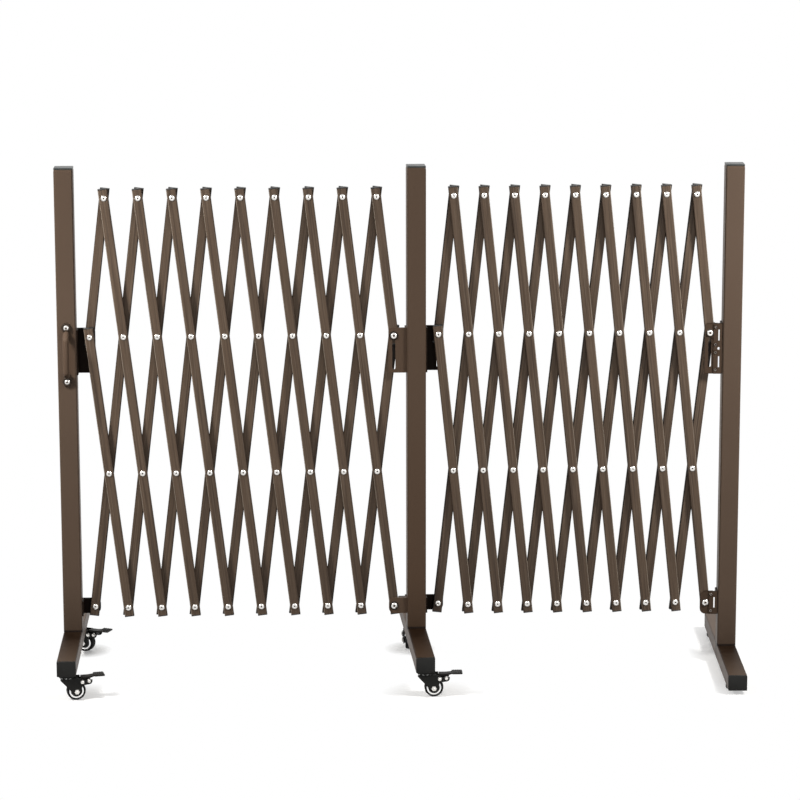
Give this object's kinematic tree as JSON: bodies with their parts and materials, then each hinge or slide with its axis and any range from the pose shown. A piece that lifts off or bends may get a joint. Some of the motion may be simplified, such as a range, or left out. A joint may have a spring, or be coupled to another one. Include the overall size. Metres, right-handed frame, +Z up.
{
  "type": "expanding safety barrier",
  "caption": "Expanding safety barrier: upright posts on T feet joined by riveted folding slat lattices, with braked swivel casters, rubber pads and a pull handle.",
  "frame": {"origin": "on the floor, midway between the outer faces of the end posts and at the middle of the feet's depth", "axes": "+X along the barrier towards the post on rubber pads, +Y to the back, +Z up; the pull handle faces -Y"},
  "size_m": [1.4589, 0.501, 1.092],
  "materials": {
    "post_paint": "fine powder coat, dark brown, satin",
    "slat_paint": "fine powder coat, dark brown, satin",
    "bracket_paint": "fine powder coat, dark brown, satin",
    "handle_paint": "fine powder coat, dark brown, satin",
    "caster_fork": "black coated steel, satin",
    "caster_wheel": "moulded black rubber, dull",
    "brake_pedal": "moulded black plastic, satin",
    "foot_pad": "moulded black rubber, dull"
  },
  "bodies": {
    "middle_post": {"middle_post": "post_paint"},
    "left_post": {"left_post": "post_paint", "pull_handle": "handle_paint"},
    "right_post": {"right_post": "post_paint", "right_upper_bracket": "bracket_paint", "right_lower_bracket": "bracket_paint", "right_front_pad": "foot_pad", "right_rear_pad": "foot_pad"},
    "left_front_slat_09": {"left_front_slat_09": "slat_paint"},
    "left_back_slat_08": {"left_back_slat_08": "slat_paint"},
    "left_front_slat_06": {"left_front_slat_06": "slat_paint"},
    "left_back_slat_05": {"left_back_slat_05": "slat_paint"},
    "left_front_slat_03": {"left_front_slat_03": "slat_paint"},
    "left_back_slat_02": {"left_back_slat_02": "slat_paint"},
    "left_back_slat_10": {"left_back_slat_10": "slat_paint"},
    "left_back_slat_09": {"left_back_slat_09": "slat_paint"},
    "left_front_slat_10": {"left_front_slat_10": "slat_paint"},
    "left_front_slat_08": {"left_front_slat_08": "slat_paint"},
    "left_front_slat_07": {"left_front_slat_07": "slat_paint"},
    "left_back_slat_07": {"left_back_slat_07": "slat_paint"},
    "left_back_slat_06": {"left_back_slat_06": "slat_paint"},
    "left_front_slat_05": {"left_front_slat_05": "slat_paint"},
    "left_front_slat_04": {"left_front_slat_04": "slat_paint"},
    "left_back_slat_04": {"left_back_slat_04": "slat_paint"},
    "left_back_slat_03": {"left_back_slat_03": "slat_paint"},
    "left_front_slat_02": {"left_front_slat_02": "slat_paint"},
    "left_front_slat_01": {"left_front_slat_01": "slat_paint"},
    "left_back_slat_01": {"left_back_slat_01": "slat_paint"},
    "right_back_slat_02": {"right_back_slat_02": "slat_paint"},
    "right_front_slat_03": {"right_front_slat_03": "slat_paint"},
    "right_back_slat_05": {"right_back_slat_05": "slat_paint"},
    "right_front_slat_06": {"right_front_slat_06": "slat_paint"},
    "right_back_slat_08": {"right_back_slat_08": "slat_paint"},
    "right_front_slat_09": {"right_front_slat_09": "slat_paint"},
    "right_back_slat_10": {"right_back_slat_10": "slat_paint"},
    "right_back_slat_09": {"right_back_slat_09": "slat_paint"},
    "right_front_slat_10": {"right_front_slat_10": "slat_paint"},
    "right_front_slat_08": {"right_front_slat_08": "slat_paint"},
    "right_front_slat_07": {"right_front_slat_07": "slat_paint"},
    "right_back_slat_07": {"right_back_slat_07": "slat_paint"},
    "right_back_slat_06": {"right_back_slat_06": "slat_paint"},
    "right_front_slat_05": {"right_front_slat_05": "slat_paint"},
    "right_front_slat_04": {"right_front_slat_04": "slat_paint"},
    "right_back_slat_04": {"right_back_slat_04": "slat_paint"},
    "right_back_slat_03": {"right_back_slat_03": "slat_paint"},
    "right_front_slat_02": {"right_front_slat_02": "slat_paint"},
    "right_front_slat_01": {"right_front_slat_01": "slat_paint"},
    "right_back_slat_01": {"right_back_slat_01": "slat_paint"},
    "left_front_caster_fork": {"left_front_caster_fork": "caster_fork"},
    "left_front_caster_wheel": {"left_front_caster_wheel": "caster_wheel"},
    "left_front_caster_brake_pedal": {"left_front_caster_brake_pedal": "brake_pedal"},
    "left_rear_caster_fork": {"left_rear_caster_fork": "caster_fork"},
    "left_rear_caster_wheel": {"left_rear_caster_wheel": "caster_wheel"},
    "left_rear_caster_brake_pedal": {"left_rear_caster_brake_pedal": "brake_pedal"},
    "middle_front_caster_fork": {"middle_front_caster_fork": "caster_fork"},
    "middle_front_caster_wheel": {"middle_front_caster_wheel": "caster_wheel"},
    "middle_front_caster_brake_pedal": {"middle_front_caster_brake_pedal": "brake_pedal"},
    "middle_rear_caster_fork": {"middle_rear_caster_fork": "caster_fork"},
    "middle_rear_caster_wheel": {"middle_rear_caster_wheel": "caster_wheel"},
    "middle_rear_caster_brake_pedal": {"middle_rear_caster_brake_pedal": "brake_pedal"}
  },
  "joints": [
    {"name": "left_fold", "type": "hinge", "parent": "middle_post", "child": "left_front_slat_09", "pos_m": [-0.01748, 0, 0.1377], "axis": [0, -1, 0], "range_deg": [-4.79, 22.11]},
    {"name": "left_back_slat_08_pivot", "type": "hinge", "parent": "left_front_slat_09", "child": "left_back_slat_08", "pos_m": [-0.1249, 0, 1.02673], "axis": [0, 1, 0], "range_deg": [-9.58, 44.22]},
    {"name": "left_front_slat_06_pivot", "type": "hinge", "parent": "left_back_slat_08", "child": "left_front_slat_06", "pos_m": [-0.23233, 0, 0.1377], "axis": [0, -1, 0], "range_deg": [-9.58, 44.22]},
    {"name": "left_back_slat_05_pivot", "type": "hinge", "parent": "left_front_slat_06", "child": "left_back_slat_05", "pos_m": [-0.33976, 0, 1.02673], "axis": [0, 1, 0], "range_deg": [-9.58, 44.22]},
    {"name": "left_front_slat_03_pivot", "type": "hinge", "parent": "left_back_slat_05", "child": "left_front_slat_03", "pos_m": [-0.44719, 0, 0.1377], "axis": [0, -1, 0], "range_deg": [-9.58, 44.22]},
    {"name": "left_back_slat_02_pivot", "type": "hinge", "parent": "left_front_slat_03", "child": "left_back_slat_02", "pos_m": [-0.55461, 0, 1.02673], "axis": [0, 1, 0], "range_deg": [-9.58, 44.22]},
    {"name": "left_post_pivot", "type": "hinge", "parent": "left_back_slat_02", "child": "left_post", "pos_m": [-0.66204, 0, 0.1377], "axis": [0, -1, 0], "range_deg": [-4.79, 22.11]},
    {"name": "left_back_slat_10_pivot", "type": "hinge", "parent": "left_front_slat_09", "child": "left_back_slat_10", "pos_m": [-0.05329, 0, 0.43404], "axis": [0, 1, 0], "range_deg": [-9.58, 44.22]},
    {"name": "left_back_slat_09_pivot", "type": "hinge", "parent": "left_front_slat_09", "child": "left_back_slat_09", "pos_m": [-0.0891, 0, 0.73039], "axis": [0, 1, 0], "range_deg": [-9.58, 44.22]},
    {"name": "left_front_slat_10_pivot", "type": "hinge", "parent": "left_back_slat_09", "child": "left_front_slat_10", "pos_m": [-0.05329, 0, 1.02673], "axis": [0, -1, 0], "range_deg": [-9.58, 44.22]},
    {"name": "left_front_slat_08_pivot", "type": "hinge", "parent": "left_back_slat_08", "child": "left_front_slat_08", "pos_m": [-0.16071, 0, 0.73039], "axis": [0, -1, 0], "range_deg": [-9.58, 44.22]},
    {"name": "left_front_slat_07_pivot", "type": "hinge", "parent": "left_back_slat_08", "child": "left_front_slat_07", "pos_m": [-0.19652, 0, 0.43404], "axis": [0, -1, 0], "range_deg": [-9.58, 44.22]},
    {"name": "left_back_slat_07_pivot", "type": "hinge", "parent": "left_front_slat_06", "child": "left_back_slat_07", "pos_m": [-0.26814, 0, 0.43404], "axis": [0, 1, 0], "range_deg": [-9.58, 44.22]},
    {"name": "left_back_slat_06_pivot", "type": "hinge", "parent": "left_front_slat_06", "child": "left_back_slat_06", "pos_m": [-0.30395, 0, 0.73039], "axis": [0, 1, 0], "range_deg": [-9.58, 44.22]},
    {"name": "left_front_slat_05_pivot", "type": "hinge", "parent": "left_back_slat_05", "child": "left_front_slat_05", "pos_m": [-0.37557, 0, 0.73039], "axis": [0, -1, 0], "range_deg": [-9.58, 44.22]},
    {"name": "left_front_slat_04_pivot", "type": "hinge", "parent": "left_back_slat_05", "child": "left_front_slat_04", "pos_m": [-0.41138, 0, 0.43404], "axis": [0, -1, 0], "range_deg": [-9.58, 44.22]},
    {"name": "left_back_slat_04_pivot", "type": "hinge", "parent": "left_front_slat_03", "child": "left_back_slat_04", "pos_m": [-0.483, 0, 0.43404], "axis": [0, 1, 0], "range_deg": [-9.58, 44.22]},
    {"name": "left_back_slat_03_pivot", "type": "hinge", "parent": "left_front_slat_03", "child": "left_back_slat_03", "pos_m": [-0.5188, 0, 0.73039], "axis": [0, 1, 0], "range_deg": [-9.58, 44.22]},
    {"name": "left_front_slat_02_pivot", "type": "hinge", "parent": "left_back_slat_02", "child": "left_front_slat_02", "pos_m": [-0.59042, 0, 0.73039], "axis": [0, -1, 0], "range_deg": [-9.58, 44.22]},
    {"name": "left_front_slat_01_pivot", "type": "hinge", "parent": "left_back_slat_02", "child": "left_front_slat_01", "pos_m": [-0.62623, 0, 0.43404], "axis": [0, -1, 0], "range_deg": [-9.58, 44.22]},
    {"name": "left_back_slat_01_pivot", "type": "hinge", "parent": "left_front_slat_02", "child": "left_back_slat_01", "pos_m": [-0.62623, 0, 1.02673], "axis": [0, 1, 0], "range_deg": [-9.58, 44.22]},
    {"name": "right_fold", "type": "hinge", "parent": "middle_post", "child": "right_back_slat_02", "pos_m": [0.07752, 0, 0.1377], "axis": [0, 1, 0], "range_deg": [-4.08, 22.82]},
    {"name": "right_front_slat_03_pivot", "type": "hinge", "parent": "right_back_slat_02", "child": "right_front_slat_03", "pos_m": [0.17393, 0, 1.028], "axis": [0, -1, 0], "range_deg": [-8.16, 45.64]},
    {"name": "right_back_slat_05_pivot", "type": "hinge", "parent": "right_front_slat_03", "child": "right_back_slat_05", "pos_m": [0.27033, 0, 0.1377], "axis": [0, 1, 0], "range_deg": [-8.16, 45.64]},
    {"name": "right_front_slat_06_pivot", "type": "hinge", "parent": "right_back_slat_05", "child": "right_front_slat_06", "pos_m": [0.36673, 0, 1.028], "axis": [0, -1, 0], "range_deg": [-8.16, 45.64]},
    {"name": "right_back_slat_08_pivot", "type": "hinge", "parent": "right_front_slat_06", "child": "right_back_slat_08", "pos_m": [0.46313, 0, 0.1377], "axis": [0, 1, 0], "range_deg": [-8.16, 45.64]},
    {"name": "right_front_slat_09_pivot", "type": "hinge", "parent": "right_back_slat_08", "child": "right_front_slat_09", "pos_m": [0.55954, 0, 1.028], "axis": [0, -1, 0], "range_deg": [-8.16, 45.64]},
    {"name": "right_post_pivot", "type": "hinge", "parent": "right_front_slat_09", "child": "right_post", "pos_m": [0.65594, 0, 0.1377], "axis": [0, 1, 0], "range_deg": [-4.08, 22.82]},
    {"name": "right_back_slat_10_pivot", "type": "hinge", "parent": "right_front_slat_09", "child": "right_back_slat_10", "pos_m": [0.6238, 0, 0.43447], "axis": [0, 1, 0], "range_deg": [-8.16, 45.64]},
    {"name": "right_back_slat_09_pivot", "type": "hinge", "parent": "right_front_slat_09", "child": "right_back_slat_09", "pos_m": [0.59167, 0, 0.73123], "axis": [0, 1, 0], "range_deg": [-8.16, 45.64]},
    {"name": "right_front_slat_10_pivot", "type": "hinge", "parent": "right_back_slat_09", "child": "right_front_slat_10", "pos_m": [0.6238, 0, 1.028], "axis": [0, -1, 0], "range_deg": [-8.16, 45.64]},
    {"name": "right_front_slat_08_pivot", "type": "hinge", "parent": "right_back_slat_08", "child": "right_front_slat_08", "pos_m": [0.5274, 0, 0.73123], "axis": [0, -1, 0], "range_deg": [-8.16, 45.64]},
    {"name": "right_front_slat_07_pivot", "type": "hinge", "parent": "right_back_slat_08", "child": "right_front_slat_07", "pos_m": [0.49527, 0, 0.43447], "axis": [0, -1, 0], "range_deg": [-8.16, 45.64]},
    {"name": "right_back_slat_07_pivot", "type": "hinge", "parent": "right_front_slat_06", "child": "right_back_slat_07", "pos_m": [0.431, 0, 0.43447], "axis": [0, 1, 0], "range_deg": [-8.16, 45.64]},
    {"name": "right_back_slat_06_pivot", "type": "hinge", "parent": "right_front_slat_06", "child": "right_back_slat_06", "pos_m": [0.39887, 0, 0.73123], "axis": [0, 1, 0], "range_deg": [-8.16, 45.64]},
    {"name": "right_front_slat_05_pivot", "type": "hinge", "parent": "right_back_slat_05", "child": "right_front_slat_05", "pos_m": [0.3346, 0, 0.73123], "axis": [0, -1, 0], "range_deg": [-8.16, 45.64]},
    {"name": "right_front_slat_04_pivot", "type": "hinge", "parent": "right_back_slat_05", "child": "right_front_slat_04", "pos_m": [0.30246, 0, 0.43447], "axis": [0, -1, 0], "range_deg": [-8.16, 45.64]},
    {"name": "right_back_slat_04_pivot", "type": "hinge", "parent": "right_front_slat_03", "child": "right_back_slat_04", "pos_m": [0.23819, 0, 0.43447], "axis": [0, 1, 0], "range_deg": [-8.16, 45.64]},
    {"name": "right_back_slat_03_pivot", "type": "hinge", "parent": "right_front_slat_03", "child": "right_back_slat_03", "pos_m": [0.20606, 0, 0.73123], "axis": [0, 1, 0], "range_deg": [-8.16, 45.64]},
    {"name": "right_front_slat_02_pivot", "type": "hinge", "parent": "right_back_slat_02", "child": "right_front_slat_02", "pos_m": [0.14179, 0, 0.73123], "axis": [0, -1, 0], "range_deg": [-8.16, 45.64]},
    {"name": "right_front_slat_01_pivot", "type": "hinge", "parent": "right_back_slat_02", "child": "right_front_slat_01", "pos_m": [0.10966, 0, 0.43447], "axis": [0, -1, 0], "range_deg": [-8.16, 45.64]},
    {"name": "right_back_slat_01_pivot", "type": "hinge", "parent": "right_front_slat_02", "child": "right_back_slat_01", "pos_m": [0.10966, 0, 1.028], "axis": [0, 1, 0], "range_deg": [-8.16, 45.64]},
    {"name": "left_front_caster_swivel", "type": "hinge", "parent": "left_post", "child": "left_front_caster_fork", "pos_m": [-0.70954, -0.23, 0.055], "axis": [0, 0, 1], "continuous": true},
    {"name": "left_front_caster_roll", "type": "hinge", "parent": "left_front_caster_fork", "child": "left_front_caster_wheel", "pos_m": [-0.69145, -0.22615, 0.02], "axis": [-0.2079, 0.9781, 0], "continuous": true},
    {"name": "left_front_caster_brake", "type": "hinge", "parent": "left_front_caster_fork", "child": "left_front_caster_brake_pedal", "pos_m": [-0.66601, -0.22075, 0.0415], "axis": [-0.2079, 0.9781, 0], "range_deg": [0, 14.5]},
    {"name": "left_rear_caster_swivel", "type": "hinge", "parent": "left_post", "child": "left_rear_caster_fork", "pos_m": [-0.70954, 0.147, 0.055], "axis": [0, 0, 1], "continuous": true},
    {"name": "left_rear_caster_roll", "type": "hinge", "parent": "left_rear_caster_fork", "child": "left_rear_caster_wheel", "pos_m": [-0.69264, 0.13948, 0.02], "axis": [0.4067, 0.9135, 0], "continuous": true},
    {"name": "left_rear_caster_brake", "type": "hinge", "parent": "left_rear_caster_fork", "child": "left_rear_caster_brake_pedal", "pos_m": [-0.66889, 0.1289, 0.0415], "axis": [0.4067, 0.9135, 0], "range_deg": [0, 14.5]},
    {"name": "middle_front_caster_swivel", "type": "hinge", "parent": "middle_post", "child": "middle_front_caster_fork", "pos_m": [0.04006, -0.22978, 0.055], "axis": [0, 0, 1], "continuous": true},
    {"name": "middle_front_caster_roll", "type": "hinge", "parent": "middle_front_caster_fork", "child": "middle_front_caster_wheel", "pos_m": [0.05856, -0.22978, 0.02], "axis": [0, 1, 0], "continuous": true},
    {"name": "middle_front_caster_brake", "type": "hinge", "parent": "middle_front_caster_fork", "child": "middle_front_caster_brake_pedal", "pos_m": [0.08456, -0.22978, 0.0415], "axis": [0, 1, 0], "range_deg": [0, 14.5]},
    {"name": "middle_rear_caster_swivel", "type": "hinge", "parent": "middle_post", "child": "middle_rear_caster_fork", "pos_m": [0.02361, 0.14686, 0.055], "axis": [0, 0, 1], "continuous": true},
    {"name": "middle_rear_caster_roll", "type": "hinge", "parent": "middle_rear_caster_fork", "child": "middle_rear_caster_wheel", "pos_m": [0.02136, 0.1285, 0.02], "axis": [0.9925, -0.1219, 0], "continuous": true},
    {"name": "middle_rear_caster_brake", "type": "hinge", "parent": "middle_rear_caster_fork", "child": "middle_rear_caster_brake_pedal", "pos_m": [0.01819, 0.10269, 0.0415], "axis": [0.9925, -0.1219, 0], "range_deg": [0, 14.5]}
  ],
  "couplings": [
    {"joint": "left_back_slat_08_pivot", "follows": "left_fold", "ratio": 2},
    {"joint": "left_front_slat_06_pivot", "follows": "left_fold", "ratio": 2},
    {"joint": "left_back_slat_05_pivot", "follows": "left_fold", "ratio": 2},
    {"joint": "left_front_slat_03_pivot", "follows": "left_fold", "ratio": 2},
    {"joint": "left_back_slat_02_pivot", "follows": "left_fold", "ratio": 2},
    {"joint": "left_post_pivot", "follows": "left_fold", "ratio": 1},
    {"joint": "left_back_slat_10_pivot", "follows": "left_fold", "ratio": 2},
    {"joint": "left_back_slat_09_pivot", "follows": "left_fold", "ratio": 2},
    {"joint": "left_front_slat_10_pivot", "follows": "left_fold", "ratio": 2},
    {"joint": "left_front_slat_08_pivot", "follows": "left_fold", "ratio": 2},
    {"joint": "left_front_slat_07_pivot", "follows": "left_fold", "ratio": 2},
    {"joint": "left_back_slat_07_pivot", "follows": "left_fold", "ratio": 2},
    {"joint": "left_back_slat_06_pivot", "follows": "left_fold", "ratio": 2},
    {"joint": "left_front_slat_05_pivot", "follows": "left_fold", "ratio": 2},
    {"joint": "left_front_slat_04_pivot", "follows": "left_fold", "ratio": 2},
    {"joint": "left_back_slat_04_pivot", "follows": "left_fold", "ratio": 2},
    {"joint": "left_back_slat_03_pivot", "follows": "left_fold", "ratio": 2},
    {"joint": "left_front_slat_02_pivot", "follows": "left_fold", "ratio": 2},
    {"joint": "left_front_slat_01_pivot", "follows": "left_fold", "ratio": 2},
    {"joint": "left_back_slat_01_pivot", "follows": "left_fold", "ratio": 2},
    {"joint": "right_front_slat_03_pivot", "follows": "right_fold", "ratio": 2},
    {"joint": "right_back_slat_05_pivot", "follows": "right_fold", "ratio": 2},
    {"joint": "right_front_slat_06_pivot", "follows": "right_fold", "ratio": 2},
    {"joint": "right_back_slat_08_pivot", "follows": "right_fold", "ratio": 2},
    {"joint": "right_front_slat_09_pivot", "follows": "right_fold", "ratio": 2},
    {"joint": "right_post_pivot", "follows": "right_fold", "ratio": 1},
    {"joint": "right_back_slat_10_pivot", "follows": "right_fold", "ratio": 2},
    {"joint": "right_back_slat_09_pivot", "follows": "right_fold", "ratio": 2},
    {"joint": "right_front_slat_10_pivot", "follows": "right_fold", "ratio": 2},
    {"joint": "right_front_slat_08_pivot", "follows": "right_fold", "ratio": 2},
    {"joint": "right_front_slat_07_pivot", "follows": "right_fold", "ratio": 2},
    {"joint": "right_back_slat_07_pivot", "follows": "right_fold", "ratio": 2},
    {"joint": "right_back_slat_06_pivot", "follows": "right_fold", "ratio": 2},
    {"joint": "right_front_slat_05_pivot", "follows": "right_fold", "ratio": 2},
    {"joint": "right_front_slat_04_pivot", "follows": "right_fold", "ratio": 2},
    {"joint": "right_back_slat_04_pivot", "follows": "right_fold", "ratio": 2},
    {"joint": "right_back_slat_03_pivot", "follows": "right_fold", "ratio": 2},
    {"joint": "right_front_slat_02_pivot", "follows": "right_fold", "ratio": 2},
    {"joint": "right_front_slat_01_pivot", "follows": "right_fold", "ratio": 2},
    {"joint": "right_back_slat_01_pivot", "follows": "right_fold", "ratio": 2}
  ]
}
